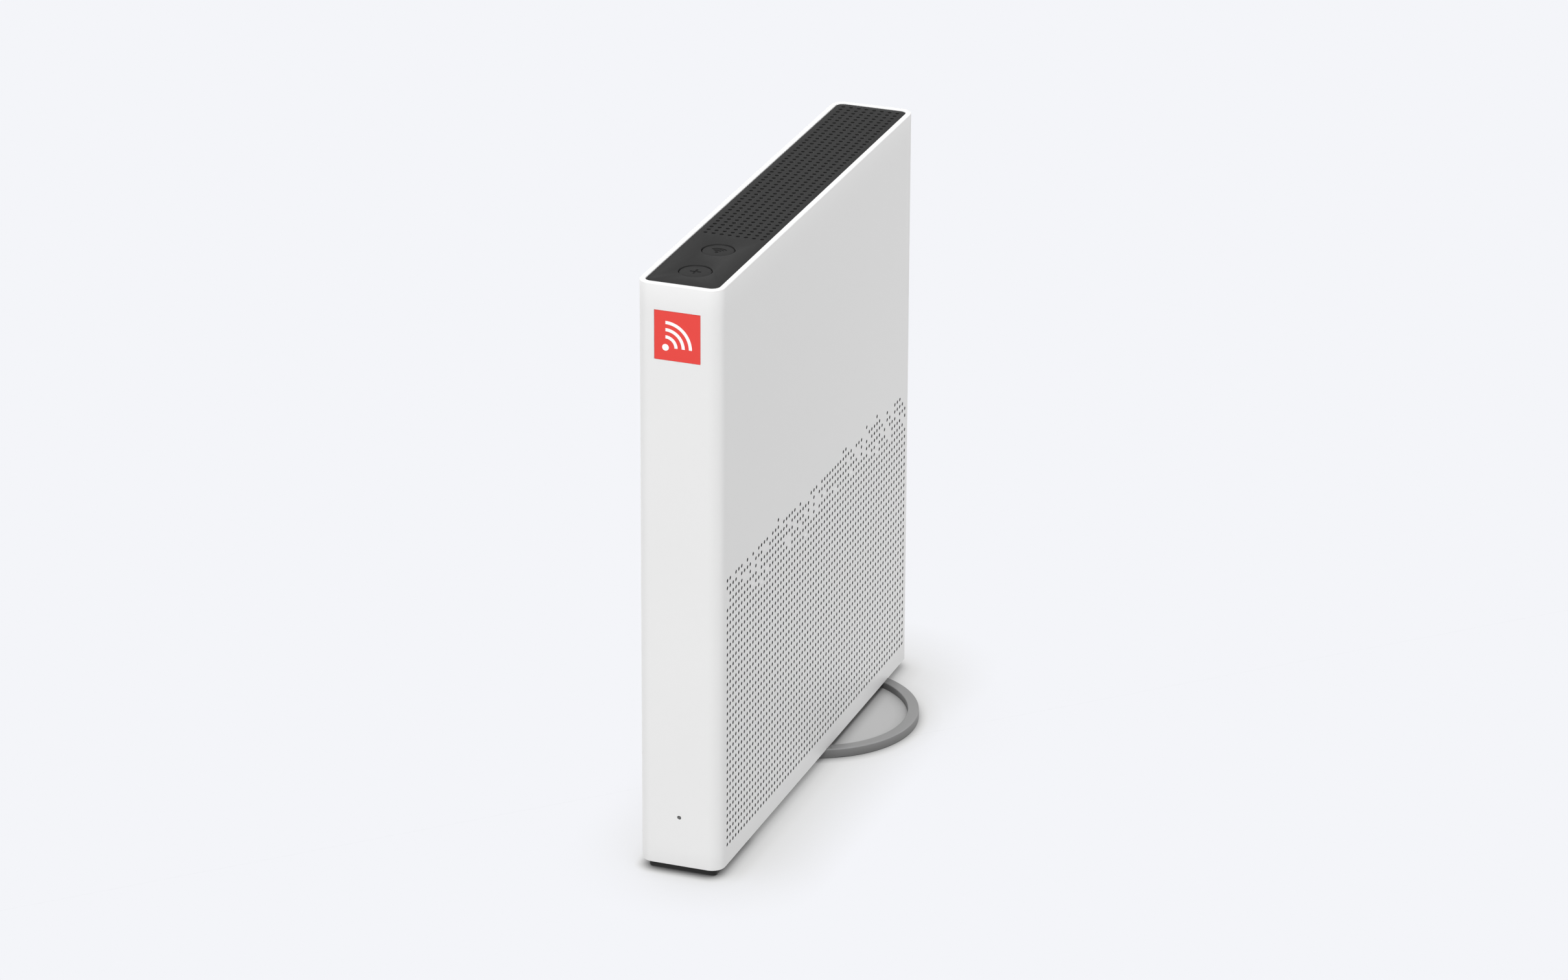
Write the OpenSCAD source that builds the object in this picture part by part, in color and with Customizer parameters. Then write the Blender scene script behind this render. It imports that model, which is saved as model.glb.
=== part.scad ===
// Slim upright wireless router: a moulded sleeve with perforated sides and top,
// two push buttons, a front badge and a round stand under the rear half.
// All sizes in millimetres. Origin: centre of the case's footprint on the floor.
// +Z up, -Y is the front, +X is the right-hand side.

/* [Case] */
// Case width, left to right
body_w = 33; // [33:0.5:36]
// Case depth, front to back
body_d = 213; // [213:1:230]
// Case height without the foot
body_h = 233; // [233:1:250]
// Radius of the upright corners
corner_r = 5.2; // [4:0.1:6]
// Wall thickness of the sleeve
wall = 2.1; // [1.8:0.1:2.4]

/* [Vents] */
// Spacing of the side vent holes
side_pitch = 3; // [3:0.1:4]
// Side vent hole diameter
side_hole = 1.5; // [1:0.1:2]
// Side vent columns
side_cols = 67; // [20:1:67]
// Side vent rows
side_rows = 38; // [12:1:38]
// Spacing of the top vent holes
top_pitch = 3.2; // [3:0.1:3.2]
// Top vent hole diameter
top_hole = 1.6; // [1:0.1:2]
// Top vent rows, front to back
top_rows = 48; // [10:1:48]

/* [Controls] */
// Push button cap diameter
cap_d = 12.1; // [11:0.1:12.1]
// Gap round a push button cap
cap_gap = 0.3; // [0.2:0.05:0.4]
// Push button travel
travel = 0.5; // [0.3:0.1:0.6]
// Rocker switch swing, end to end, in degrees
rocker_swing = 16; // [10:1:16]

/* [Stand] */
// Clear height under the case
foot_h = 3.5; // [3.5:0.1:5]
// Outer radius of the round stand
ring_r = 40; // [38:0.5:44]
// Width of the stand's rim
ring_w = 4.4; // [3.5:0.1:6]
// Distance of the stand's centre behind the middle of the case
ring_y = 45.9; // [30:0.1:60]

/* [Hidden] */

e = 0.01;
zb = foot_h;                 // underside of the case
zt = foot_h + body_h;        // top rim of the case
hw = body_w/2;
hd = body_d/2;
iw = hw - wall;              // inside half width
id = hd - wall;              // inside half depth
ir = corner_r - wall;        // inside corner radius

// side vent field
vy = (side_cols - 1)*side_pitch/2;
vz0 = zb + 8.33;             // lowest row
vlen = vy + 1.5;             // half length of the vent insert
vlo = vz0 - side_pitch/2;
vhi = vlo + side_rows*side_pitch;
strip_gap = 0.04;            // seam between two strips of the vent insert

// top panel
tp_top = zt - 0.4;
tp_t = 2;
tp_bot = tp_top - tp_t;
tp_hw = iw - 0.15;
tp_hd = id - 0.15;
b1y = -hd + 17.9;            // front button
b2y = -hd + 41.2;            // rear button
well_d = cap_d + 2*cap_gap;
cap_top = tp_top - 0.25;

// button board
bb_top = tp_bot - 8;
bb_t = 1.2;

// main board, upright, parts on its right-hand face
pcb_x0 = -8.35;
pcb_t = 1.6;
pcb_x = pcb_x0 + pcb_t;
pcb_y0 = -97;
pcb_y1 = hd - 8;
pcb_z0 = zb + 8;
pcb_z1 = zb + 203;

// sockets
port_y = hd - 1;             // front face of the sockets
jack_w = 15.6;
jack_h = 13.5;
jack_l = 21;
lan_z = zb + 96;
lan_p = 16.6;
wan_z = lan_z + 3*lan_p + 20.5;
usb_z = zb + 75;
rock_z = zb + 54;
dc_z = zb + 34;
rst_z = wan_z + 15.5;
rst_x = -4.75;
io_lo = zb + 22;
io_hi = wan_z + 23;
io_hw = 10.5;
io_lip = hw - corner_r - 0.15;  // half width of the panel's flange, on the flat between the corners
piv_y = hd - 5.1;            // rocker pivot
dc_x = -1.25;
rock_x = -1.25;
usb_x = -3.25;

// status light
led_z = zb + 20;

function rnd(i, j) = let (v = sin(i*129.898 + j*782.33)*43758.5453) v - floor(v);
function keep(k) = k == 0 ? 0.18 : 0.65 + 0.05*k;

module rrect(a, b, r) {          // rounded rectangle, half sizes a and b
  square([2*a, 2*b - 2*r], center = true);
  square([2*a - 2*r, 2*b], center = true);
  for (x = [-1, 1], y = [-1, 1]) translate([x*(a - r), y*(b - r)]) circle(r = r);
}
module rprism(a, b, r, z0, z1) { translate([0, 0, z0]) linear_extrude(z1 - z0) rrect(a, b, r); }
module box(x0, x1, y0, y1, z0, z1) { translate([x0, y0, z0]) cube([x1 - x0, y1 - y0, z1 - z0]); }
module xcyl(x0, x1, y, z, d) { translate([x0, y, z]) rotate([0, 90, 0]) cylinder(d = d, h = x1 - x0); }
module ycyl(x, y0, y1, z, d) { translate([x, y1, z]) rotate([90, 0, 0]) cylinder(d = d, h = y1 - y0); }
module zcyl(x, y, z0, z1, d) { translate([x, y, z0]) cylinder(d = d, h = z1 - z0); }

// ---------------------------------------------------------------- housing
module sleeve() color([0.93, 0.93, 0.93]) {
  difference() {
    rprism(hw, hd, corner_r, zb, zt);
    rprism(iw, id, ir, zb - 1, zt + 1);
    // openings for the side vents
    box(-hw - 1, hw + 1, -vlen, vlen, vlo, vhi);
    // window for the rear sockets
    box(-io_hw, io_hw, id - 1, hd + 1, io_lo, io_hi);
    // recess for the badge
    box(-9.26, 8.76, -hd - 1, -hd + 0.6, zt - 29.4, zt - 10.2);
    // hole for the status light
    ycyl(0, -hd - 1, -id + 1, led_z, 1.7);
  }
  // ledge under the top panel
  difference() {
    rprism(iw, id, ir, tp_bot - 1.6, tp_bot);
    rprism(iw - 1, id - 1, ir - 1, tp_bot - 2.6, tp_bot + 1);
  }
  // ledge over the base cover
  difference() {
    rprism(iw, id, ir, zb + 2, zb + 3.6);
    rprism(iw - 1, id - 1, ir - 1, zb + 1, zb + 4.6);
  }
}

// vent insert: strips of four rows, stacked edge to edge between the window's ends
module grille() {
  band = 4;
  rotate([90, 0, 90]) for (b = [0 : ceil(side_rows/band) - 1])
    let (n = min(band, side_rows - b*band))
      translate([0, vz0 + side_pitch*b*band, 0]) linear_extrude(wall) difference() {
        translate([-vlen, -side_pitch/2 + strip_gap/2]) square([2*vlen, side_pitch*n - strip_gap]);
        for (r = [0 : n - 1]) for (c = [0 : side_cols - 1])
          if (rnd(c, r + b*band) < keep(side_rows - 1 - r - b*band))
            translate([-vy + side_pitch*c, side_pitch*r]) circle(d = side_hole);
      }
}
module side_grille_right() color([0.9, 0.9, 0.9]) translate([iw, 0, 0]) grille();
module side_grille_left() color([0.9, 0.9, 0.9]) mirror([1, 0, 0]) translate([iw, 0, 0]) grille();

module top_panel() color([0.25, 0.25, 0.26]) {
  translate([0, 0, tp_bot]) linear_extrude(tp_t) difference() {
    rrect(tp_hw, tp_hd, ir - 0.15);
    for (r = [0 : top_rows - 1]) for (c = [0 : 7])
      translate([-3.5*top_pitch + c*top_pitch, hd - 5.3 - r*top_pitch]) circle(d = top_hole);
    translate([0, b1y]) circle(d = well_d);
    translate([0, b2y]) circle(d = well_d);
  }
  // bosses for the button board
  for (y = [b1y - 9.5, (b1y + b2y)/2, b2y + 9.5]) difference() {
    zcyl(0, y, bb_top, tp_bot, 5);
    zcyl(0, y, bb_top - 1, bb_top + 4.5, 1.8);
  }
  // snap legs
  for (s = [0, 1], y = [-92, -46, 0, 46, 92]) mirror([s, 0, 0]) {
    box(iw - 2.5, iw - 1.2, y - 3, y + 3, tp_bot - 4, tp_bot);
    box(iw - 1.2, iw - 0.4, y - 3, y + 3, tp_bot - 3.2, tp_bot - 1.75);
  }
}

module base_cover() color([0.86, 0.86, 0.87]) {
  difference() {
    union() {
      rprism(iw - 0.1, id - 0.1, ir - 0.1, zb, zb + 2);
      // bosses for the stand
      for (y = [-14, 14]) for (x = [-7, 7]) zcyl(x, ring_y + y, zb + 2, zb + 6.5, 6);
    }
    // air slots
    for (k = [0 : 9]) box(-9, 9, -60 + 7*k, -57.5 + 7*k, zb - 1, zb + 3);
    // screw holes
    for (y = [-84, 92]) for (x = [-7, 7]) { zcyl(x, y, zb - 1, zb + 3, 3.2); zcyl(x, y, zb - 1, zb + 0.9, 5.6); }
    for (y = [-14, 14]) for (x = [-7, 7]) zcyl(x, ring_y + y, zb - 1, zb + 5.6, 2.2);
  }
}

module badge() color([0.9, 0.28, 0.27]) translate([-0.25, -hd + 0.6, zt - 19.8]) rotate([90, 0, 0])
  linear_extrude(0.6) difference() { square([18, 19.2], center = true); signal_mark(); }
// three quarter-ring arcs and a dot, standing for a radio signal
module signal_mark() translate([-4.6, -4.6]) {
  circle(r = 1.3);
  for (r = [4.1, 6.9, 9.7]) intersection() {
    difference() { circle(r = r + 0.62); circle(r = r - 0.62); }
    square([12, 12]);
  }
}
module badge_symbol() color([0.97, 0.97, 0.97]) translate([-0.25, -hd + 0.6, zt - 19.8]) rotate([90, 0, 0])
  linear_extrude(0.6) signal_mark();

module light_guide() color([0.3, 0.3, 0.32]) {
  ycyl(0, -hd + 0.1, -id, led_z, 1.6);
  ycyl(0, -id, -id + 7, led_z, 3);
  box(-5.3, 1.5, -id + 7, -id + 10, led_z - 1.5, led_z + 1.5);
}

module io_panel() color([0.16, 0.16, 0.17]) difference() {
  union() {
    box(-io_hw + 0.1, io_hw - 0.1, id, hd - 0.6, io_lo + 0.1, io_hi - 0.1);
    box(-io_lip, io_lip, id - 1.6, id, io_lo - 1.6, io_hi + 1.6);
  }
  box(dc_x - 5.6, dc_x + 5.6, id - 3, hd + 1, dc_z - 4.7, dc_z + 4.7);
  box(rock_x - 5.6, rock_x + 5.6, id - 3, hd + 1, rock_z - 7.7, rock_z + 7.7);
  box(usb_x - 3.6, usb_x + 3.6, id - 3, hd + 1, usb_z - 7.4, usb_z + 7.4);
  box(-jack_h/2 - 0.1, jack_h/2 + 0.1, id - 3, hd + 1, lan_z - jack_w/2 - 0.1, lan_z + 3*lan_p + jack_w/2 + 0.1);
  box(-jack_h/2 - 0.1, jack_h/2 + 0.1, id - 3, hd + 1, wan_z - jack_w/2 - 0.1, wan_z + jack_w/2 + 0.1);
  ycyl(rst_x, id - 3, hd + 1, rst_z, 2);
}

// ---------------------------------------------------------------- stand
module front_foot() color([0.13, 0.13, 0.13]) difference() {
  translate([0, -hd + 3 + 18, 0]) {
    rprism(13.6, 18, 2.8, 0.4, zb);
    rprism(13.2, 17.6, 2.4, 0, 0.4);
  }
  // hollow from below, so that only a rim stands on the floor
  translate([0, -hd + 3 + 18, 0]) rprism(10.6, 15, 1.5, -1, 1.6);
}

module stand_ring() color([0.55, 0.55, 0.56]) difference() {
  translate([0, ring_y, 0]) rotate_extrude() difference() {
    union() {
      translate([ring_r - ring_w, 0.2]) square([ring_w - 0.4, zb + 0.1]);
      translate([ring_r - 1, 0.2]) square([1, zb - 0.3]);
      translate([ring_r - 0.4, zb - 0.1]) circle(r = 0.4);
      translate([ring_r - ring_w - 1.2, 0.2]) square([1.3, 0.3]);
    }
    translate([ring_r - ring_w + 1, 0]) square([ring_w - 2, 0.7]);
  }
  // notch that seats the case
  rprism(hw + 0.15, hd + 0.15, corner_r + 0.15, zb, zb + 4);
}
module stand_plate() color([0.75, 0.75, 0.75]) difference() {
  zcyl(0, ring_y, 0.5, 1, 2*(ring_r - ring_w) - 0.06);
  for (y = [-14, 14]) for (x = [-7, 7]) zcyl(x, ring_y + y, 0, 2, 3.2);
}
module stand_neck() color([0.5, 0.5, 0.5]) difference() {
  translate([0, ring_y, 0]) rprism(11, 20, 4, 1, zb);
  for (y = [-14, 14]) for (x = [-7, 7]) zcyl(x, ring_y + y, 0, zb + 1, 2.8);
}
module stand_pad() color([0.2, 0.2, 0.2]) translate([0, ring_y, 0]) difference() {
  cylinder(r = ring_r - 1.1, h = 0.7);
  translate([0, 0, -1]) cylinder(r = ring_r - ring_w + 1.1, h = 3);
}
module stand_screws() color([0.62, 0.62, 0.64])
  for (y = [-14, 14]) for (x = [-7, 7]) difference() {
    union() { zcyl(x, ring_y + y, 0.05, 0.5, 5.2); zcyl(x, ring_y + y, 0.5, zb + 5, 2.1); }
    for (a = [0, 90]) translate([x, ring_y + y, 0.05]) rotate([0, 0, a]) cube([2.8, 0.6, 0.5], center = true);
  }
module base_screws() color([0.62, 0.62, 0.64])
  for (y = [-84, 92]) for (x = [-7, 7]) difference() {
    union() { zcyl(x, y, zb + 0.1, zb + 0.9, 5); zcyl(x, y, zb + 0.9, zb + 7.4, 2.4); }
    for (a = [0, 90]) translate([x, y, zb + 0.1]) rotate([0, 0, a]) cube([2.8, 0.6, 0.8], center = true);
  }

// ---------------------------------------------------------------- controls
module cap(y) difference() {
  union() {
    zcyl(0, y, tp_bot - 0.5, cap_top, cap_d);
    zcyl(0, y, tp_bot - 1.3, tp_bot - 0.3, cap_d + 1.2);
    zcyl(0, y, tp_bot - 2.6, tp_bot - 1, 4);
  }
  children();
}
module plus_mark(y) translate([0, y, cap_top - 0.25]) linear_extrude(0.25) {
  square([4.4, 0.8], center = true);
  square([0.8, 4.4], center = true);
}
module fan_mark(y) translate([0, y - 1.9, cap_top - 0.25]) linear_extrude(0.25)
  intersection() {
    union() {
      circle(r = 0.7);
      for (r = [1.75, 2.9, 4.05]) difference() { circle(r = r + 0.3); circle(r = r - 0.3); }
    }
    polygon([[0, -1], [6, 5], [-6, 5]]);
  }
module button_front() color([0.24, 0.24, 0.25]) cap(b1y) plus_mark(b1y);
module button_rear() color([0.24, 0.24, 0.25]) cap(b2y) fan_mark(b2y);
module button_front_icon() color([0.12, 0.12, 0.12]) plus_mark(b1y);
module button_rear_icon() color([0.12, 0.12, 0.12]) fan_mark(b2y);

module button_board() color([0.1, 0.32, 0.2]) difference() {
  box(-9, 9, b1y - 13, b2y + 23, bb_top - bb_t, bb_top);
  for (y = [b1y - 9.5, (b1y + b2y)/2, b2y + 9.5]) zcyl(0, y, bb_top - 3, bb_top + 1, 2.4);
}
module button_board_screws() color([0.62, 0.62, 0.64])
  for (y = [b1y - 9.5, (b1y + b2y)/2, b2y + 9.5]) difference() {
    union() { zcyl(0, y, bb_top - bb_t - 1.3, bb_top - bb_t, 4); zcyl(0, y, bb_top - bb_t, bb_top + 4, 1.8); }
    for (a = [0, 90]) translate([0, y, bb_top - bb_t - 1.3]) rotate([0, 0, a]) cube([2.4, 0.5, 1], center = true);
  }
module tact_switches() color([0.15, 0.15, 0.16]) for (y = [b1y, b2y]) difference() {
  box(-3, 3, y - 3, y + 3, bb_top, bb_top + 3.4);
  zcyl(0, y, bb_top + 1, bb_top + 4, 3.6);
}
module plunger(y) {
  zcyl(0, y, bb_top + 1.2 + travel, tp_bot - 2.6, 3.5);
}
module plunger_front() color([0.85, 0.85, 0.8]) plunger(b1y);
module plunger_rear() color([0.85, 0.85, 0.8]) plunger(b2y);

// flat cable from the button board down to the main board
fx_y = b2y + 17.5;
module button_flex() color([0.85, 0.83, 0.78]) {
  box(-4.5, -0.5, fx_y - 4, fx_y + 4, bb_top - bb_t - 1.4, bb_top - bb_t - 1.1);
  translate([-4.5, fx_y + 4, bb_top - bb_t - 2.6]) rotate([90, -90, 0]) rotate([0, 0, 0])
    translate([0, 0, 0]) linear_extrude(8) intersection() {
      difference() { circle(r = 1.5); circle(r = 1.2); }
      square([3, 3]);
    }
  box(-6, -5.7, fx_y - 4, fx_y + 4, pcb_z1 - 4, bb_top - bb_t - 2.6);
}
module flex_sockets() color([0.9, 0.9, 0.86]) {
  box(-0.5, 3.5, fx_y - 5, fx_y + 5, bb_top - bb_t - 2.3, bb_top - bb_t);
  box(pcb_x, pcb_x + 2.2, fx_y - 5, fx_y + 5, pcb_z1 - 9, pcb_z1 - 4);
}

// ---------------------------------------------------------------- electronics
bs = [[-88, 14], [-88, 110], [-88, 190], [74, 14], [60, 110], [74, 190]];   // board screw places (y, height over the board's lower edge less 8)
module board_frame() color([0.3, 0.3, 0.32]) difference() {
  union() {
    difference() {
      box(-12.6, -11.1, -94, 82, zb + 4, zb + 206);
      for (y = [-80, -54, -28, -2, 24, 50]) for (z = [24, 50, 76, 122, 148, 172])
        translate([0, y + 11, zb + z + 9]) rotate([90, 0, 90]) translate([0, 0, -14]) linear_extrude(4) rrect(10, 9, 3);
    }
    for (p = bs) xcyl(-11.2, pcb_x0, p[0], zb + p[1], 6);
    // front flange that carries the front antennas
    box(-12.6, 8, -94, -92.5, zb + 126, zb + 206);
    // feet down to the base cover
    for (y = [-84, 92]) difference() {
      box(-12.6, 11, y - 4.5, y + 4.5, zb + 2, zb + 8);
      box(-2.5, 2.5, y - 5, y + 5, zb + 1, zb + 6.5);
    }
    box(-12.6, -11.1, 80, 96.5, zb + 4, zb + 16);
    // top tray that carries the rear antenna
    box(-12.6, 10, 20, 70, zb + 204.5, zb + 206);
  }
  for (p = bs) xcyl(-20, pcb_x0 + 1, p[0], zb + p[1], 2.4);
  for (y = [-84, 92]) for (x = [-7, 7]) zcyl(x, y, zb + 1, zb + 7.6, 2.4);
  // ways through for the antenna leads
  ycyl(-4.6, -95, -91, zb + 176, 2.4);
  ycyl(4, -95, -91, zb + 185.6, 2.4);
  zcyl(-4.6, 30, zb + 204, zb + 207, 2.4);
}
module board_screws() color([0.62, 0.62, 0.64]) for (p = bs) difference() {
  union() { xcyl(pcb_x, pcb_x + 1.6, p[0], zb + p[1], 5); xcyl(pcb_x0 - 3.4, pcb_x, p[0], zb + p[1], 2.4); }
  for (a = [0, 90]) translate([pcb_x + 1.6, p[0], zb + p[1]]) rotate([a, 0, 0]) cube([1, 0.6, 2.8], center = true);
}
module main_board() color([0.08, 0.3, 0.18]) difference() {
  box(pcb_x0, pcb_x, pcb_y0, pcb_y1, pcb_z0 + 2, pcb_z1);
  for (p = bs) xcyl(pcb_x0 - 1, pcb_x + 1, p[0], zb + p[1], 2.8);
  for (y = [-46, 26]) for (z = [36, 98]) xcyl(pcb_x0 - 1, pcb_x + 1, y, zb + z, 2.6);
  box(pcb_x0 - 1, pcb_x + 1, -98, -92.2, zb + 125, pcb_z1 + 1);
}
sp_y = -10;
sp_z = zb + 67;
module processor() color([0.12, 0.12, 0.13]) {
  box(pcb_x, pcb_x + 1.1, sp_y - 12, sp_y + 12, sp_z - 12, sp_z + 12);
  box(pcb_x + 1.1, pcb_x + 2, sp_y - 9, sp_y + 9, sp_z - 9, sp_z + 9);
}
module thermal_pad() color([0.55, 0.6, 0.68]) box(pcb_x + 2, pcb_x + 3, sp_y - 9, sp_y + 9, sp_z - 9, sp_z + 9);
hs_x = pcb_x + 3;
module heat_sink() color([0.72, 0.73, 0.75]) difference() {
  union() {
    box(hs_x, hs_x + 2.5, -52, 32, zb + 30, zb + 104);
    for (k = [0 : 13]) box(hs_x + 2.4, hs_x + 12.5, -52 + 6.35*k, -50.6 + 6.35*k, zb + 30, zb + 104);
    for (y = [-46, 26]) for (z = [36, 98]) xcyl(pcb_x, hs_x + 0.1, y, zb + z, 6);
  }
  for (y = [-46, 26]) for (z = [36, 98]) {
    xcyl(pcb_x - 1, hs_x + 9, y, zb + z, 2.6);
    xcyl(hs_x + 2.5, hs_x + 20, y, zb + z, 7);
  }
}
module heat_sink_screws() color([0.62, 0.62, 0.64]) for (y = [-46, 26]) for (z = [36, 98]) difference() {
  union() { xcyl(hs_x + 2.5, hs_x + 4.2, y, zb + z, 4.6); xcyl(pcb_x0 - 0.5, hs_x + 2.5, y, zb + z, 2.4); }
  for (a = [0, 90]) translate([hs_x + 4.2, y, zb + z]) rotate([a, 0, 0]) cube([1, 0.6, 2.6], center = true);
}
module memory_chips() color([0.13, 0.13, 0.14])
  for (p = [[-70, 60], [-70, 76], [44, 60], [44, 76]]) box(pcb_x, pcb_x + 1.1, p[0] - 6.5, p[0] + 6.5, zb + p[1] - 4.5, zb + p[1] + 4.5);
module radio_shields() color([0.7, 0.71, 0.72])
  for (y = [-62, -24, 14]) difference() {
    box(pcb_x, pcb_x + 3, y - 16, y + 16, zb + 126, zb + 164);
    box(pcb_x - 1, pcb_x + 2.75, y - 15.75, y + 15.75, zb + 126.25, zb + 163.75);
  }
module power_coils() color([0.25, 0.25, 0.26])
  for (p = [[56, 24], [44, 24], [-66, 24], [-66, 36]]) {
    box(pcb_x, pcb_x + 1, p[0] - 4, p[0] + 4, zb + p[1] - 4, zb + p[1] + 4);
    xcyl(pcb_x + 1, pcb_x + 4.2, p[0], zb + p[1], 7.4);
  }
module capacitors() color([0.2, 0.22, 0.3])
  for (p = [[56, 40], [67, 40], [56, 52], [-30, 114], [-12, 114]]) {
    xcyl(pcb_x + 0.3, pcb_x + 11, p[0], zb + p[1], 8);
    box(pcb_x, pcb_x + 0.3, p[0] - 3.6, p[0] + 3.6, zb + p[1] - 3.6, zb + p[1] + 3.6);
  }
module line_transformers() color([0.14, 0.14, 0.15])
  for (k = [0 : 3]) box(pcb_x, pcb_x + 5.4, 64, 74, lan_z + k*lan_p - 7, lan_z + k*lan_p + 7);
module status_led() color([0.95, 0.95, 0.85]) box(pcb_x, pcb_x + 1.1, -id + 7.7, -id + 9.3, led_z - 0.8, led_z + 0.8);

module antenna_boards() color([0.78, 0.68, 0.35]) {
  box(-9, -1.5, -94.8, -94, zb + 138, zb + 180);
  box(0.5, 8, -94.8, -94, zb + 160, zb + 202);
  box(-8, 6, 24, 66, zb + 206, zb + 206.8);
}
module lead(y, z0, z1, x1) {     // riser from the board, then a turn to the right
  zcyl(-4.6, y, z0, z1, 1.1);
  translate([-4.6 + 1.6, y, z1]) rotate([90, 0, 0]) translate([0, 0, 0])
    rotate([0, 0, 90]) rotate_extrude(angle = 90) translate([1.6, 0]) circle(d = 1.1);
  xcyl(-3, x1, y, z1 + 1.6, 1.1);
}
module antenna_leads() color([0.16, 0.16, 0.17]) {
  zcyl(-4.6, -88, zb + 169.32, zb + 176, 1.1);
  ycyl(-4.6, -94, -88, zb + 176, 1.1);
  lead(-80, zb + 169.32, zb + 184, 4);
  ycyl(4, -94, -80, zb + 185.6, 1.1);
  zcyl(-4.6, 30, zb + 169.32, zb + 206, 1.1);
}
module coax_sockets() color([0.85, 0.72, 0.35])
  for (y = [-88, -80, 30]) { xcyl(pcb_x, pcb_x + 1.2, y, zb + 168, 2.2); xcyl(pcb_x + 1.2, pcb_x + 2.8, y, zb + 168, 2.6); }

// ---------------------------------------------------------------- sockets
module power_inlet() color([0.12, 0.12, 0.12]) difference() {
  box(dc_x - 5.5, dc_x + 5.5, port_y - 14, port_y, dc_z - 4.5, dc_z + 4.5);
  ycyl(dc_x, port_y - 11, port_y + 1, dc_z, 6.4);
  ycyl(dc_x, port_y - 13, port_y - 10, dc_z, 2.6);
}
module inlet_pin() color([0.8, 0.78, 0.7]) {
  ycyl(dc_x, port_y - 13, port_y - 11, dc_z, 2.6);
  ycyl(dc_x, port_y - 11, port_y - 1.2, dc_z, 2);
}

module power_switch_body() color([0.1, 0.1, 0.1]) translate([rock_x, 0, 0]) difference() {
  box(-5.5, 5.5, port_y - 14, port_y, rock_z - 7.5, rock_z + 7.5);
  box(-3.4, 3.4, port_y - 8.6, port_y + 1, rock_z - 6.6, rock_z + 6.6);
  xcyl(-4.4, 4.4, piv_y, rock_z, 1.7);
}
module power_rocker() color([0.18, 0.18, 0.18])
  translate([rock_x, piv_y, rock_z]) rotate([-rocker_swing/2, 0, 0]) {
    difference() {
      rotate([90, 0, 90]) translate([0, 0, -3.05]) linear_extrude(6.1) {
        circle(r = 2.6);
        polygon([[0, -2], [2.2, -5.7], [3.9, -5.7], [3.1, 0], [3.9, 5.7], [2.2, 5.7], [0, 2]]);
      }
      // engraved line on one half, ring on the other
      box(-1.6, 1.6, 3, 5, 2.9, 3.3);
      difference() { ycyl(0, 3.2, 5, -3.2, 2.2); ycyl(0, 3, 6, -3.2, 1.4); }
    }
    xcyl(-4.2, -3.04, 0, 0, 1.6);
    xcyl(3.04, 4.2, 0, 0, 1.6);
  }

module reset_switch() color([0.15, 0.15, 0.16]) difference() {
  box(pcb_x, pcb_x + 4, pcb_y1 - 5, pcb_y1 - 1.5, rst_z - 3, rst_z + 3);
  ycyl(rst_x, pcb_y1 - 4, pcb_y1, rst_z, 1.8);
}
module reset_plunger() color([0.85, 0.85, 0.8]) ycyl(rst_x, pcb_y1 - 3.6, pcb_y1 + 1.4, rst_z, 1.6);

module usb_port() color([0.75, 0.76, 0.78]) translate([usb_x, 0, 0]) difference() {
  box(-3.5, 3.5, port_y - 14, port_y, usb_z - 7.2, usb_z + 7.2);
  box(-2.9, 2.9, port_y - 13.4, port_y + 1, usb_z - 6.6, usb_z + 6.6);
}
module usb_tongue() color([0.1, 0.25, 0.6]) translate([usb_x, 0, 0]) {
  box(-2.9, 2.9, port_y - 13.4, port_y - 11, usb_z - 6.6, usb_z + 6.6);
  box(-2.2, -0.4, port_y - 11, port_y - 1.5, usb_z - 5.6, usb_z + 5.6);
}

module jack(z) difference() {
  box(-jack_h/2, jack_h/2, port_y - jack_l, port_y, z - jack_w/2, z + jack_w/2);
  box(-4.4, 2.6, port_y - 15, port_y + 1, z - 6, z + 6);
  box(2.5, 4.2, port_y - 11, port_y + 1, z - 3.2, z + 3.2);
  box(4.1, 5.6, port_y - 11, port_y + 1, z - 2, z + 2);
}
module wan_jack() color([0.1, 0.25, 0.55]) jack(wan_z);
module lan_jack_1() color([0.12, 0.12, 0.13]) jack(lan_z);
module lan_jack_2() color([0.12, 0.12, 0.13]) jack(lan_z + lan_p);
module lan_jack_3() color([0.12, 0.12, 0.13]) jack(lan_z + 2*lan_p);
module lan_jack_4() color([0.12, 0.12, 0.13]) jack(lan_z + 3*lan_p);
module jack_contacts() color([0.85, 0.7, 0.3])
  for (z = [lan_z, lan_z + lan_p, lan_z + 2*lan_p, lan_z + 3*lan_p, wan_z]) for (k = [0 : 7])
    translate([-4.4, 0, z + (k - 3.5)*1.02 - 0.2]) linear_extrude(0.4)
      polygon([[0, port_y - 4], [0, port_y - 4.4], [1.9, port_y - 12.6], [1.9, port_y - 12.1]]);

sleeve();
side_grille_right();
side_grille_left();
top_panel();
base_cover();
badge();
badge_symbol();
light_guide();
io_panel();
front_foot();
stand_ring();
stand_plate();
stand_neck();
stand_pad();
stand_screws();
base_screws();
button_front();
button_rear();
button_front_icon();
button_rear_icon();
button_board();
button_board_screws();
tact_switches();
plunger_front();
plunger_rear();
button_flex();
board_frame();
board_screws();
main_board();
processor();
thermal_pad();
heat_sink();
heat_sink_screws();
memory_chips();
radio_shields();
power_coils();
capacitors();
line_transformers();
flex_sockets();
status_led();
antenna_boards();
antenna_leads();
coax_sockets();
power_inlet();
inlet_pin();
power_switch_body();
power_rocker();
reset_switch();
reset_plunger();
usb_port();
usb_tongue();
wan_jack();
lan_jack_1();
lan_jack_2();
lan_jack_3();
lan_jack_4();
jack_contacts();
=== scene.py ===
import math
import bpy
import bmesh
import numpy as np
from mathutils import Matrix, Vector
from mathutils.geometry import delaunay_2d_cdt


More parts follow.
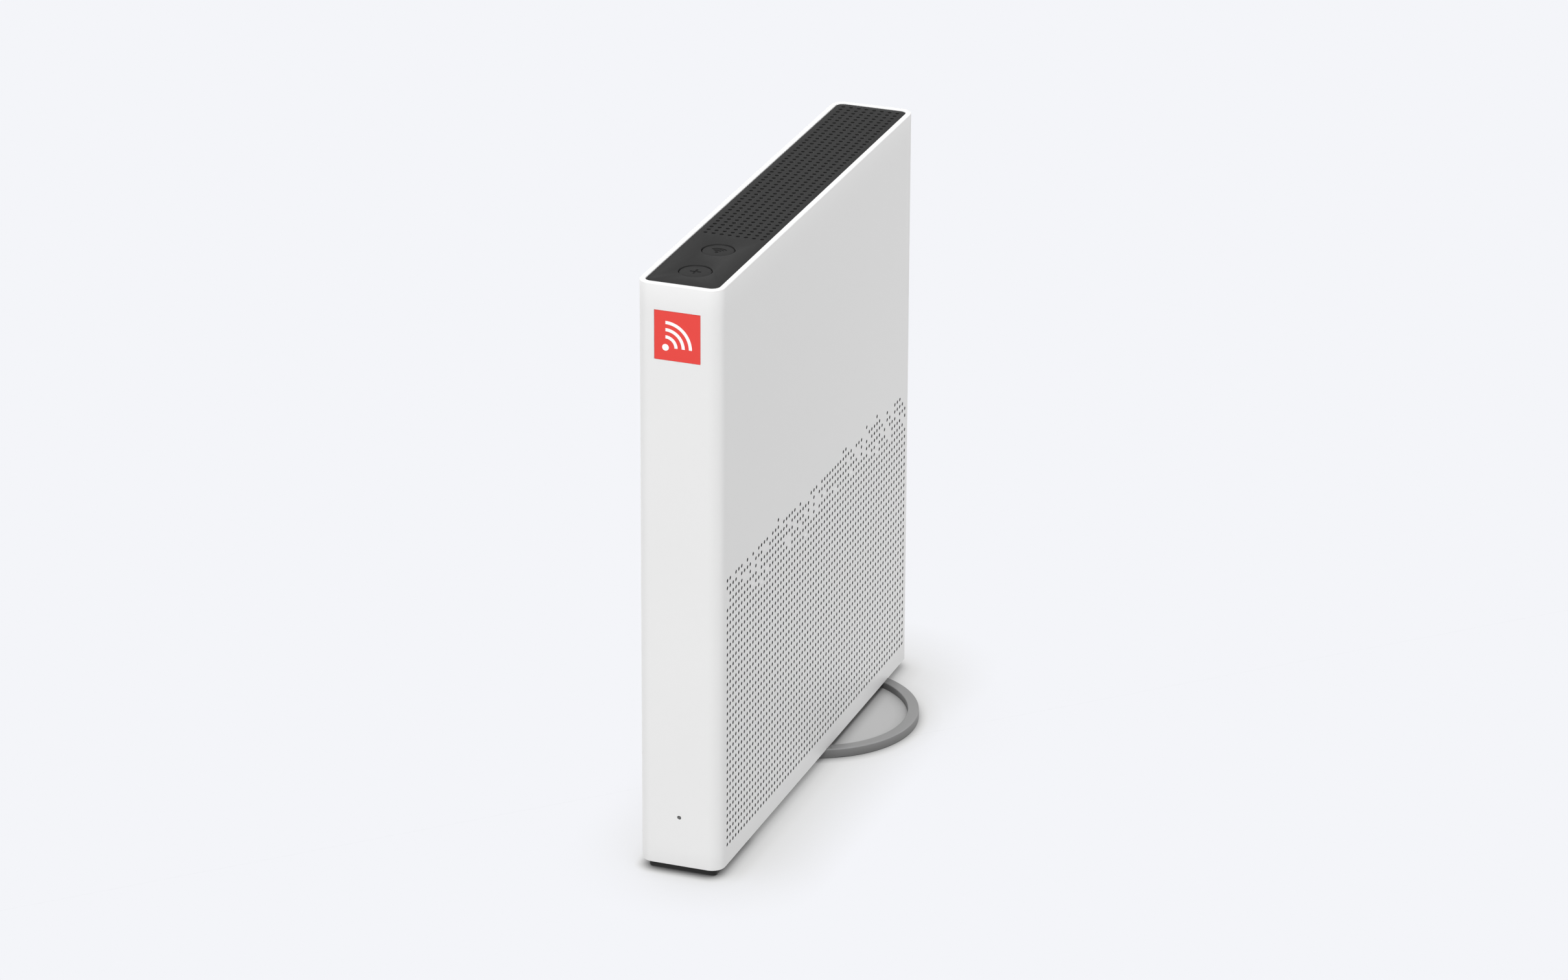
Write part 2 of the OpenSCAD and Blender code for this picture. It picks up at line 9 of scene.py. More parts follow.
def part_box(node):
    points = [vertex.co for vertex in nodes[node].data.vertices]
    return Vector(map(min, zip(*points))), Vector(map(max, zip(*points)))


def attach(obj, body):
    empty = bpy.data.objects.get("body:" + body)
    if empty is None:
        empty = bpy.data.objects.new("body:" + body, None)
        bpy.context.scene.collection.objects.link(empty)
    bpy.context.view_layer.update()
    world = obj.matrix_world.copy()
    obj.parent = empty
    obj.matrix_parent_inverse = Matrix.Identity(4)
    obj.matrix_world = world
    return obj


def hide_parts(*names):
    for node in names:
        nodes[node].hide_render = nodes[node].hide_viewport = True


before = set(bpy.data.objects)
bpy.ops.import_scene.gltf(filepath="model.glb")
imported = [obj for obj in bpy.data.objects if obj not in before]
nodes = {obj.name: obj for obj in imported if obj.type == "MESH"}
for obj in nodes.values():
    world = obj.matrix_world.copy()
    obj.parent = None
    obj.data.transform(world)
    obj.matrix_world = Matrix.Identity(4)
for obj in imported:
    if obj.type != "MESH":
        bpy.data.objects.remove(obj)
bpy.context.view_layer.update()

MM = 0.001
ROOT = "router"


# ------------------------------------------------------------------ sizes, from the frame
def nb(name):
    lo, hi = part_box(name)
    return np.array(lo) / MM, np.array(hi) / MM


s_lo, s_hi = nb("sleeve")
HW, HD = s_hi[0], s_hi[1]
ZB, ZT = s_lo[2], s_hi[2]
R = 5.2
WALL = 2.1
g_lo, g_hi = nb("side_grille_right")
VY = 99.0
VZ0 = ZB + 8.33
PITCH, ROWS, COLS, HOLE = 3.0, 38, 67, 1.5
VLEN, VLO, VHI = VY + 1.5, VZ0 - 1.5, VZ0 - 1.5 + ROWS * PITCH
b_lo, b_hi = nb("badge")
i_lo, i_hi = nb("io_panel")
IO_LO, IO_HI, IO_HW = i_lo[2] + 1.6, i_hi[2] - 1.6, 10.5
LED_Z = ZB + 20.0
TP_TOP = ZT - 0.4
B1Y, B2Y = -HD + 17.9, -HD + 41.2
c1_lo, c1_hi = nb("button_front")
CAP_TOP = c1_hi[2]
r_lo, r_hi = nb("stand_ring")
RING_Y = (r_lo[1] + r_hi[1]) / 2
RING_R = (r_hi[1] - r_lo[1]) / 2
RING_W = 4.4
RING_TOP, RING_BOT = r_hi[2], r_lo[2]
p_lo, p_hi = nb("stand_plate")


# ------------------------------------------------------------------ materials
def srgb(v):
    v = v / 255.0
    return v / 12.92 if v <= 0.04045 else ((v + 0.055) / 1.055) ** 2.4


def grey(v, tint=(1, 1, 1)):
    return tuple(srgb(v) * t for t in tint) + (1.0,)


class Mat:
    """Small helper that builds a node material round one Principled shader."""

    def __init__(self, name):
        self.m = bpy.data.materials.new(name)
        self.m.use_nodes = True
        self.t = self.m.node_tree
        self.t.nodes.clear()
        self.out = self.t.nodes.new("ShaderNodeOutputMaterial")
        self.p = self.t.nodes.new("ShaderNodeBsdfPrincipled")
        self.t.links.new(self.p.outputs[0], self.out.inputs["Surface"])
        self.tc = self.t.nodes.new("ShaderNodeTexCoord")

    def node(self, kind, **values):
        n = self.t.nodes.new(kind)
        for k, v in values.items():
            if k in n.inputs:
                n.inputs[k].default_value = v
            else:
                setattr(n, k, v)
        return n

    def link(self, a, b):
        self.t.links.new(a, b)

    def mapping(self, scale=(1, 1, 1), rotation=(0, 0, 0)):
        n = self.t.nodes.new("ShaderNodeMapping")
        n.inputs["Scale"].default_value = scale
        n.inputs["Rotation"].default_value = rotation
        self.link(self.tc.outputs["Object"], n.inputs["Vector"])
        return n.outputs[0]

    def noise(self, scale, detail=3.0, rough=0.5, vec=None, dist=0.0):
        n = self.node("ShaderNodeTexNoise", Scale=scale, Detail=detail, Roughness=rough, Distortion=dist)
        self.link(vec if vec is not None else self.tc.outputs["Object"], n.inputs["Vector"])
        return n.outputs["Fac"]

    def ramp(self, fac, stops):
        n = self.t.nodes.new("ShaderNodeValToRGB")
        e = n.color_ramp.elements
        while len(e) < len(stops):
            e.new(0.5)
        for k, (pos, col) in enumerate(stops):
            e[k].position = pos
            e[k].color = col
        self.link(fac, n.inputs[0])
        return n.outputs[0]

    def rng(self, fac, lo, hi, a=0.0, b=1.0):
        n = self.t.nodes.new("ShaderNodeMapRange")
        n.inputs["From Min"].default_value = a
        n.inputs["From Max"].default_value = b
        n.inputs["To Min"].default_value = lo
        n.inputs["To Max"].default_value = hi
        self.link(fac, n.inputs["Value"])
        return n.outputs[0]

    def mix(self, fac, a, b, mode="MIX"):
        n = self.t.nodes.new("ShaderNodeMix")
        n.data_type = "RGBA"
        n.blend_type = mode
        for sock, v in ((n.inputs[0], fac), (n.inputs[6], a), (n.inputs[7], b)):
            if hasattr(v, "links"):
                self.link(v, sock)
            else:
                sock.default_value = v
        return n.outputs[2]

    def math(self, op, a, b=0.0):
        n = self.t.nodes.new("ShaderNodeMath")
        n.operation = op
        for sock, v in ((n.inputs[0], a), (n.inputs[1], b)):
            if hasattr(v, "links"):
                self.link(v, sock)
            else:
                sock.default_value = v
        return n.outputs[0]

    def bump(self, height, strength, distance, below=None):
        n = self.t.nodes.new("ShaderNodeBump")
        n.inputs["Strength"].default_value = strength
        n.inputs["Distance"].default_value = distance
        self.link(height, n.inputs["Height"])
        if below is not None:
            self.link(below, n.inputs["Normal"])
        return n.outputs[0]

    def set(self, **values):
        for k, v in values.items():
            sock = self.p.inputs[k.replace("_", " ")]
            if hasattr(v, "links"):
                self.link(v, sock)
            else:
                sock.default_value = v
        return self


def plastic(name, col, rough=0.45, spread=0.05, grain=0.12, depth=0.004, vary=0.03, spec=0.5, mottle=18.0, painted_corner_shade=None):
    """Moulded plastic: fine spark-eroded grain, faint cloudiness and uneven gloss. grain and depth in mm.
    The last argument gives the reach in mm and the colour share left in corners and creases, where an occlusion term
    paints shade into the base colour."""
    m = Mat(name)
    cloud = m.noise(mottle, 3.0, 0.55)
    fine = m.noise(1.0 / (grain * MM), 2.0, 0.6)
    lo = tuple(c * (1 - vary) for c in col[:3]) + (1,)
    hi = tuple(min(1.0, c * (1 + vary)) for c in col[:3]) + (1,)
    base = m.ramp(cloud, [(0.3, lo), (0.7, hi)])
    speck_and_painted_shade = m.mix(0.25, base, m.ramp(fine, [(0.35, lo), (0.65, hi)]))
    # painted shade: an occlusion term darkens the base colour in corners and creases
    if painted_corner_shade:
        ao = m.node("ShaderNodeAmbientOcclusion")
        ao.samples = 8
        ao.inputs["Distance"].default_value = painted_corner_shade[0] * MM
        share = m.rng(ao.outputs["AO"], painted_corner_shade[1], 1.0, 0.45, 1.0)
        tone = m.t.nodes.new("ShaderNodeCombineColor")
        for k in range(3):
            m.link(share, tone.inputs[k])
        speck_and_painted_shade = m.mix(1.0, speck_and_painted_shade, tone.outputs[0], "MULTIPLY")
    r = m.math("ADD", m.rng(cloud, rough - spread, rough + spread, 0.3, 0.7), m.rng(fine, -spread / 2, spread / 2, 0.3, 0.7))
    n = m.bump(fine, 0.35, depth * MM)
    m.set(Base_Color=speck_and_painted_shade, Roughness=r, Normal=n)
    m.p.inputs["Specular IOR Level"].default_value = spec
    m.p.inputs["IOR"].default_value = 1.48
    return m.m


def metal(name, col, rough=0.3, brush=(1, 1, 1), grain=0.2, depth=0.004):
    """Plated or drawn metal: stretched noise along one direction for the drawn lines."""
    m = Mat(name)
    v = m.mapping(brush)
    lines = m.noise(1.0 / (grain * MM), 4.0, 0.7, vec=v)
    cloud = m.noise(60.0, 3.0, 0.6)
    lo = tuple(c * 0.86 for c in col[:3]) + (1,)
    base = m.ramp(cloud, [(0.3, lo), (0.7, col)])
    r = m.math("ADD", m.rng(lines, rough - 0.06, rough + 0.08, 0.3, 0.7), m.rng(cloud, -0.04, 0.06, 0.3, 0.7))
    m.set(Base_Color=base, Roughness=r, Normal=m.bump(lines, 0.3, depth * MM))
    m.p.inputs["Metallic"].default_value = 1.0
    return m.m


WHITE = plastic("case_white", (0.8, 0.8, 0.8, 1), rough=0.42, spread=0.04, grain=0.16, depth=0.003, vary=0.008)
PANEL = plastic("panel_grey", grey(41), rough=0.6, spread=0.06, grain=0.14, depth=0.008, vary=0.06, spec=0.2)
BUTTON = plastic("button_grey", grey(40), rough=0.55, spread=0.05, grain=0.14, depth=0.006, vary=0.06, spec=0.2)
ICON = plastic("icon_dark", grey(26), rough=0.6, grain=0.1, depth=0.006, vary=0.1, spec=0.25)
CORAL = plastic("badge_coral", (srgb(230), srgb(73), srgb(67), 1), rough=0.45, spread=0.04, grain=0.15, depth=0.002, vary=0.015, spec=0.25)
MARK = plastic("mark_white", grey(252), rough=0.42, spread=0.04, grain=0.15, depth=0.002, vary=0.01)
SMOKE = plastic("guide_smoke", grey(90), rough=0.18, spread=0.04, grain=0.2, depth=0.001, vary=0.1)
# painted shade: dark grey on the vent bores and the wall's inside face, where the white plastic is only in shade
BORE_SHADE = plastic("vent_bore_painted_shade", grey(66), rough=0.7, spread=0.05, grain=0.18, depth=0.008, vary=0.08, spec=0.3)
DARK = plastic("inner_plastic", grey(42), rough=0.55, spread=0.06, grain=0.16, depth=0.01, vary=0.08)
FOOT = plastic("foot_black", grey(34), rough=0.7, spread=0.06, grain=0.2, depth=0.015, vary=0.12, spec=0.3)
# painted shade: occlusion darkens the ring's colour on its walls and in its corners
RING = plastic("ring_grey", grey(145), rough=0.5, spread=0.05, grain=0.14, depth=0.006, vary=0.03, painted_corner_shade=(9.0, 0.35))
# painted shade: occlusion darkens the dish plate's colour towards the ring wall and the case
PLATE = plastic("plate_grey", grey(188), rough=0.5, spread=0.05, grain=0.14, depth=0.006, vary=0.02, painted_corner_shade=(5.5, 0.62))
PAD = plastic("pad_rubber", grey(40), rough=0.8, spread=0.05, grain=0.25, depth=0.02, vary=0.12, spec=0.3)
SOCKET = plastic("socket_black", grey(30), rough=0.42, spread=0.06, grain=0.18, depth=0.008, vary=0.1)
SOCKET_B = plastic("socket_blue", (srgb(38), srgb(96), srgb(168), 1), rough=0.4, spread=0.05, grain=0.18, depth=0.006, vary=0.05)
CREAM = plastic("actuator_cream", (srgb(222), srgb(216), srgb(196), 1), rough=0.4, spread=0.05, grain=0.15, depth=0.004, vary=0.03)
FLEX = plastic("flex_cream", (srgb(206), srgb(196), srgb(160), 1), rough=0.35, spread=0.05, grain=0.3, depth=0.004, vary=0.05)
CHIP = plastic("chip_black", grey(38), rough=0.5, spread=0.08, grain=0.1, depth=0.008, vary=0.15)
CAN = plastic("can_blue", (srgb(48), srgb(56), srgb(92), 1), rough=0.28, spread=0.05, grain=0.2, depth=0.003, vary=0.06)
THERM = plastic("pad_blue", (srgb(150), srgb(170), srgb(196), 1), rough=0.75, spread=0.05, grain=0.25, depth=0.02, vary=0.06)
LEAD = plastic("lead_black", grey(36), rough=0.4, spread=0.05, grain=0.3, depth=0.006, vary=0.1)
LED = plastic("led_cream", (srgb(240), srgb(226), srgb(150), 1), rough=0.25, spread=0.03, grain=0.1, depth=0.002, vary=0.04)
STEEL = metal("steel", grey(196), rough=0.32, brush=(1, 1, 8))
ALU = metal("aluminium", grey(205), rough=0.38, brush=(6, 6, 0.25), grain=0.35, depth=0.01)
GOLD = metal("gold", (srgb(230), srgb(190), srgb(110), 1), rough=0.25, grain=0.15)


def board_material():
    """Solder mask over copper: faint traces under green lacquer, pale pads at grid points."""
    m = Mat("board_green")
    v = m.mapping((1, 1, 1))
    traces = m.node("ShaderNodeTexBrick", Scale=180.0)
    traces.offset = 0.37
    traces.inputs["Mortar Size"].default_value = 0.03
    traces.inputs["Brick Width"].default_value = 0.9
    traces.inputs["Row Height"].default_value = 0.35
    sw = m.node("ShaderNodeSeparateXYZ")
    cb = m.node("ShaderNodeCombineXYZ")
    m.link(v, sw.inputs[0])
    m.link(sw.outputs[1], cb.inputs[0])
    m.link(sw.outputs[2], cb.inputs[1])
    m.link(cb.outputs[0], traces.inputs["Vector"])
    traces.inputs["Color1"].default_value = (srgb(18), srgb(84), srgb(52), 1)
    traces.inputs["Color2"].default_value = (srgb(16), srgb(76), srgb(47), 1)
    traces.inputs["Mortar"].default_value = (srgb(34), srgb(112), srgb(70), 1)
    cloud = m.noise(120.0, 4.0, 0.6)
    fine = m.noise(4000.0, 2.0, 0.5)
    base = m.mix(m.rng(cloud, 0.0, 0.35), traces.outputs["Color"], (srgb(12), srgb(66), srgb(40), 1))
    m.set(Base_Color=base, Roughness=m.rng(cloud, 0.22, 0.4, 0.3, 0.7), Normal=m.bump(traces.outputs["Fac"], 0.3, 0.02 * MM, m.bump(fine, 0.2, 0.004 * MM)))
    m.p.inputs["Coat Weight"].default_value = 0.3
    return m.m


BOARD = board_material()


def antenna_material():
    m = Mat("antenna_film")
    w = m.node("ShaderNodeTexWave", Scale=160.0, Distortion=1.0)
    w.wave_type = "BANDS"
    w.bands_direction = "Z"
    m.link(m.tc.outputs["Object"], w.inputs["Vector"])
    fine = m.noise(3000.0, 2.0, 0.5)
    base = m.ramp(w.outputs["Fac"], [(0.42, (srgb(182), srgb(150), srgb(84), 1)), (0.5, (srgb(214), srgb(152), srgb(96), 1))])
    m.set(Base_Color=base, Roughness=m.rng(fine, 0.35, 0.5, 0.3, 0.7), Normal=m.bump(fine, 0.3, 0.006 * MM))
    return m.m


ANT = antenna_material()


# ------------------------------------------------------------------ mesh helpers
def make(name, verts, faces, mat, replace=(), slot=None, smooth=40.0, body=ROOT, mats=None, fmat=None, merge=0.0):
    me = bpy.data.meshes.new(name)
    verts = np.asarray(verts, float) * MM
    if isinstance(faces, np.ndarray) and faces.ndim == 2 and faces.shape[1] == 4:
        n = len(faces)
        me.vertices.add(len(verts))
        me.vertices.foreach_set("co", verts.astype(np.float32).ravel())
        me.loops.add(4 * n)
        me.loops.foreach_set("vertex_index", faces.astype(np.int32).ravel())
        me.polygons.add(n)
        me.polygons.foreach_set("loop_start", np.arange(0, 4 * n, 4, dtype=np.int32))
        me.update(calc_edges=True)
    else:
        me.from_pydata(verts.tolist(), [], [tuple(int(i) for i in f) for f in faces])
        me.update()
    for x in (mats or [mat]):
        me.materials.append(x)
    if fmat is not None:
        me.polygons.foreach_set("material_index", np.asarray(fmat, np.int32))
    if merge:
        bm = bmesh.new()
        bm.from_mesh(me)
        bmesh.ops.remove_doubles(bm, verts=bm.verts, dist=merge * MM)
        bmesh.ops.recalc_face_normals(bm, faces=bm.faces)
        bm.to_mesh(me)
        bm.free()
    me.validate(clean_customdata=False)
    if smooth:
        me.polygons.foreach_set("use_smooth", np.ones(len(me.polygons), bool))
        me.set_sharp_from_angle(angle=math.radians(smooth))
    ob = bpy.data.objects.new(name, me)
    bpy.context.scene.collection.objects.link(ob)
    if replace:
        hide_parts(*replace)
    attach(ob, body)
    return ob


def rr_loop(hx, hy, r, sides_x, sides_y, nc=10):
    """Closed loop of a rounded rectangle, anticlockwise from the +X side's low-y end.
    sides_x: breakpoints in y on the +-X sides, sides_y: breakpoints in x on the +-Y sides, as lists that leave out the ends."""
    def arc(cx, cy, a0):
        return [(cx + r * math.cos(a0 + math.pi / 2 * k / nc), cy + r * math.sin(a0 + math.pi / 2 * k / nc)) for k in range(nc + 1)]
    pts = []
    pts += [(hx, y) for y in sides_x]
    pts += arc(hx - r, hy - r, 0)
    pts += [(x, hy) for x in reversed(sides_y[1])]
    pts += arc(-hx + r, hy - r, math.pi / 2)
    pts += [(-hx, y) for y in reversed(sides_x)]
    pts += arc(-hx + r, -hy + r, math.pi)
    pts += [(x, -hy) for x in sides_y[0]]
    pts += arc(hx - r, -hy + r, 1.5 * math.pi)
    return np.array(pts)


def lathe(profile, n=256, cx=0.0, cy=0.0, closed=True):
    """Revolves (radius, z) points about the vertical through (cx, cy); closed joins the last point to the first."""
    prof = np.asarray(profile, float)
    m = len(prof)
    a = 2 * math.pi * np.arange(n) / n
    v = np.stack([cx + prof[None, :, 0] * np.cos(a)[:, None], cy + prof[None, :, 0] * np.sin(a)[:, None],
                  np.broadcast_to(prof[None, :, 1], (n, m))], -1).reshape(-1, 3)
    last = m if closed else m - 1
    i = np.arange(n)[:, None]
    j = np.arange(last)[None, :]
    f = np.stack([i * m + j, ((i + 1) % n) * m + j, ((i + 1) % n) * m + (j + 1) % m, i * m + (j + 1) % m], -1).reshape(-1, 4)
    return v, f


def rnd(i, j):
    v = math.sin(math.radians(i * 129.898 + j * 782.33)) * 43758.5453
    return v - math.floor(v)


def keep(k):
    return 0.18 if k == 0 else 0.65 + 0.05 * k


# ------------------------------------------------------------------ the case
T = math.tan(math.radians(22.5))
SUB = [-1.0, -T, 0.0, T]                      # a vent cell's points along one edge, as shares of half a cell
ys = []
for c in range(COLS):
    ys += [-VY + PITCH * c + s * PITCH / 2 for s in SUB]
ys.append(VY + PITCH / 2)
side_breaks = [y for y in ys]                 # y of every vent cell point; the ends are the field's ends
LR = 1.5                                      # half cell round the status light
bx0, bx1 = b_lo[0], b_hi[0]
bz0, bz1 = b_lo[2], b_hi[2]
front_x = sorted(set([bx0 - 0.05, bx1 + 0.05] + [s * LR for s in (-1, -T, 0, T, 1)]))
back_x = [-IO_HW, 0.0, IO_HW]

zs = []
for r in range(ROWS):
    zs += [VZ0 + PITCH * r + s * PITCH / 2 for s in SUB]
zs.append(VHI)
led_zs = [LED_Z + s * LR for s in (-1, -T, 0, T, 1)]
RB, RT, RI = 0.15, 0.45, 0.35                 # bottom, top outer and top inner edge radii


def uniq(a, tol=1e-6):
    out = []
    for x in sorted(a):
        if not out or x - out[-1] > tol:
            out.append(x)
    return out


zcuts = uniq([ZB + RB, ZT - RT] + zs + led_zs + [bz0 - 0.05, bz1 + 0.05, IO_LO, IO_HI])


def ring_at(d, z):
    """The case's outline drawn in by d, at height z."""
    loop = rr_loop(HW - d, HD - d, R - d, side_breaks, (front_x, back_x))
    return np.column_stack([loop, np.full(len(loop), z)])


rings = []
NB = 6
rings.append((WALL, ZB))
for k in range(NB + 1):                        # rounded lower edge
    a = math.pi / 2 * k / NB
    rings.append((RB - RB * math.sin(a), ZB + RB - RB * math.cos(a)))
for z in zcuts[1:-1]:
    rings.append((0.0, z))
for k in range(5):                             # outer edge of the top rim
    a = math.pi / 2 * k / 4
    rings.append((RT - RT * math.cos(a), ZT - RT + RT * math.sin(a)))
for k in range(5):                             # inner edge of the top rim
    a = math.pi / 2 * k / 4
    rings.append((WALL - RI + RI * math.sin(a), ZT - RI + RI * math.cos(a)))
outer_last = len(rings)
inner_z = uniq([ZB + 0.001, TP_TOP - 2.2] + zs + led_zs + [bz0 - 0.05, bz1 + 0.05, IO_LO, IO_HI])[::-1]
for z in inner_z[:-1]:
    rings.append((WALL, z))
NR = len(rings)
loops = [ring_at(d, z) for d, z in rings]
NP = len(loops[0])
V = np.concatenate(loops)
base = ring_at(0.0, 0.0)
mid = (base + np.roll(base, -1, axis=0)) / 2   # middle of each outline segment


def skipped(p, z0, z1, inner):
    """Is this wall cell part of a vent field, a window or a recess?"""
    x, y = mid[p][0], mid[p][1]
    zm = (z0 + z1) / 2
    if abs(abs(x) - HW) < 1e-6 and abs(y) < VLEN and VLO < zm < VHI:
        return True
    if abs(y - HD) < 1e-6 and abs(x) < IO_HW and IO_LO < zm < IO_HI:
        return True
    if abs(y + HD) < 1e-6:
        if abs(x) < LR and led_zs[0] < zm < led_zs[-1]:
            return True
        if not inner and bx0 - 0.05 < x < bx1 + 0.05 and bz0 - 0.05 < zm < bz1 + 0.05:
            return True
    return False


F = []
for r in range(NR):
    r2 = (r + 1) % NR
    d0, z0 = rings[r]
    d1, z1 = rings[r2]
    flat_outer = d0 == 0.0 and d1 == 0.0
    flat_inner = d0 == WALL and d1 == WALL and r >= outer_last - 1
    for p in range(NP):
        if (flat_outer or flat_inner) and skipped(p, z0, z1, flat_inner):
            continue
        q = (p + 1) % NP
        F.append((r * NP + p, r * NP + q, r2 * NP + q, r2 * NP + p))
V = list(map(tuple, V))


def add_quads(quads):
    for q in quads:
        k = len(V)
        V.extend(q)
        F.append((k, k + 1, k + 2, k + 3))


def window_walls(x0, x1, z0, z1, y0, y1, xs, zs_):
    """The four walls of a rectangular window through the wall, facing into the window."""
    xs = [x0] + [x for x in xs if x0 < x < x1] + [x1]
    zs_ = [z0] + [z for z in zs_ if z0 + 1e-6 < z < z1 - 1e-6] + [z1]
    q = []
    for a, b in zip(xs, xs[1:]):
        q.append([(a, y0, z0), (b, y0, z0), (b, y1, z0), (a, y1, z0)])
        q.append([(a, y0, z1), (a, y1, z1), (b, y1, z1), (b, y0, z1)])
    for a, b in zip(zs_, zs_[1:]):
        q.append([(x0, y0, a), (x0, y1, a), (x0, y1, b), (x0, y0, b)])
        q.append([(x1, y0, a), (x1, y0, b), (x1, y1, b), (x1, y1, a)])
    return q


allz = uniq(zcuts)
add_quads(window_walls(-IO_HW, IO_HW, IO_LO, IO_HI, HD - WALL, HD, back_x, allz))
# badge recess: walls and floor
rx0, rx1, rz0, rz1 = bx0 - 0.05, bx1 + 0.05, bz0 - 0.05, bz1 + 0.05
add_quads(window_walls(rx0, rx1, rz0, rz1, -HD, -HD + 0.6, front_x, allz))
fx = [rx0] + [x for x in front_x if rx0 + 1e-6 < x < rx1 - 1e-6] + [rx1]
fz = [rz0] + [z for z in allz if rz0 + 1e-6 < z < rz1 - 1e-6] + [rz1]
for a, b in zip(fx, fx[1:]):
    for c, d in zip(fz, fz[1:]):
        add_quads([[(a, -HD + 0.6, c), (b, -HD + 0.6, c), (b, -HD + 0.6, d), (a, -HD + 0.6, d)]])


def cell_points():
    """Edge points of a half-size-1 cell and the unit circle, at sixteen bearings."""
    sq, ci = [], []
    for k in range(16):
        a = math.pi / 8 * k
        c, s = math.cos(a), math.sin(a)
        m = max(abs(c), abs(s))
        sq.append((c / m, s / m))
        ci.append((c, s))
    return np.array(sq), np.array(ci)


SQ, CI = cell_points()
# status light hole, through the front wall
h = 0.82
for (ra, ya), (rb, yb) in (((None, -HD), (h + 0.08, -HD)), ((h + 0.08, -HD), (h, -HD + 0.08)), ((h, -HD + 0.08), (h, -HD + WALL)), ((h, -HD + WALL), (None, -HD + WALL))):
    for k in range(16):
        k2 = (k + 1) % 16
        pa = [(SQ[i] * LR if ra is None else CI[i] * ra) for i in (k, k2)]
        pb = [(SQ[i] * LR if rb is None else CI[i] * rb) for i in (k, k2)]
        add_quads([[(pa[0][0], ya, LED_Z + pa[0][1]), (pa[1][0], ya, LED_Z + pa[1][1]), (pb[1][0], yb, LED_Z + pb[1][1]), (pb[0][0], yb, LED_Z + pb[0][1])]])

shell = make("case_shell", V, np.array(F), WHITE, replace=("sleeve",), slot="case_white", smooth=30.0, merge=0.002)


def vent_piece(name, side, c0, c1, node):
    """Columns c0 to c1 of a perforated side: every cell with its hole's edge, bore and inside face."""
    verts, faces, tone = [], [], []
    cnt = 0
    hx = HW
    r_edge, r_hole, dep = HOLE / 2 + 0.07, HOLE / 2, 0.07
    layers = ((SQ * PITCH / 2, 0.0), (CI * r_edge, 0.0), (CI * r_hole, dep), (CI * r_hole, WALL), (SQ * PITCH / 2, WALL))
    k = np.arange(16)
    k2 = (k + 1) % 16
    quads = np.concatenate([np.stack([a * 16 + k, a * 16 + k2, (a + 1) * 16 + k2, (a + 1) * 16 + k], 1) for a in range(4)])
    for r in range(ROWS):
        for c in range(c0, c1):
            cy, cz = -VY + PITCH * c, VZ0 + PITCH * r
            if rnd(c, r) < keep(ROWS - 1 - r):
                pts = np.concatenate([np.column_stack([np.full(16, hx - d), cy + p[:, 0], cz + p[:, 1]]) for p, d in layers])
                verts.append(pts)
                faces.append(quads + cnt)
                # index 1 puts the dark bore material on the bores and the inside face: painted shade
                tone += [0] * 32 + [1] * 32
                cnt += 80
            else:
                for x, flip in ((hx, False), (hx - WALL, True)):
                    g = [PITCH / 2 * s for s in SUB] + [PITCH / 2]
                    pts = np.array([(x, cy + a, cz + b) for b in g for a in g])
                    f = np.array([(i + j * 5, i + 1 + j * 5, i + 6 + j * 5, i + 5 + j * 5) for j in range(4) for i in range(4)])
                    if flip:
                        f = f[:, ::-1]
                    verts.append(pts)
                    faces.append(f + cnt)
                    # the inside face takes the dark bore material: painted shade
                    tone += [int(flip)] * 16
                    cnt += 25
    vv = np.concatenate(verts)
    ff = np.concatenate(faces)
    if side < 0:
        vv[:, 0] *= -1
        ff = ff[:, ::-1]
    return make(name, vv, ff, WHITE, mats=[WHITE, BORE_SHADE], fmat=tone, replace=(node,), slot="case_white", smooth=30.0, merge=0.0)


for side, word in ((1, "right"), (-1, "left")):
    vent_piece("case_vents_%s_front" % word, side, 0, 34, "side_grille_%s" % word)
    vent_piece("case_vents_%s_back" % word, side, 34, 67, "side_grille_%s" % word)


# ------------------------------------------------------------------ flat plates with holes
def circle(cx, cy, r, n):
    return [(cx + r * math.cos(2 * math.pi * k / n), cy + r * math.sin(2 * math.pi * k / n)) for k in range(n)]


def region(outer, holes):
    """Triangles that fill outer less holes. Returns points and triangles."""
    pts, edges = [], []
    for loop in [outer] + holes:
        k = len(pts)
        pts += [Vector(p) for p in loop]
        edges += [(k + i, k + (i + 1) % len(loop)) for i in range(len(loop))]
    v, e, f, *_ = delaunay_2d_cdt(pts, edges, [], 1, 1e-7)
    co = np.array([(p.x, p.y) for p in v])
    tri = np.array([t for t in f])
    c = co[tri].mean(1)

    def inside(loop):
        a = np.array(loop)
        b = np.roll(a, -1, axis=0)
        out = np.zeros(len(c), bool)
        for (x1, y1), (x2, y2) in zip(a, b):
            if y1 == y2:
                continue
            hit = (y1 > c[:, 1]) != (y2 > c[:, 1])
            out ^= hit & (c[:, 0] < (x2 - x1) * (c[:, 1] - y1) / (y2 - y1) + x1)
        return out

    ok = inside(outer)
    for hl in holes:
        a = np.array(hl)
        near = (c[:, 0] > a[:, 0].min()) & (c[:, 0] < a[:, 0].max()) & (c[:, 1] > a[:, 1].min()) & (c[:, 1] < a[:, 1].max())
        if near.any():
            ok &= ~inside(hl)
    return co, tri[ok]


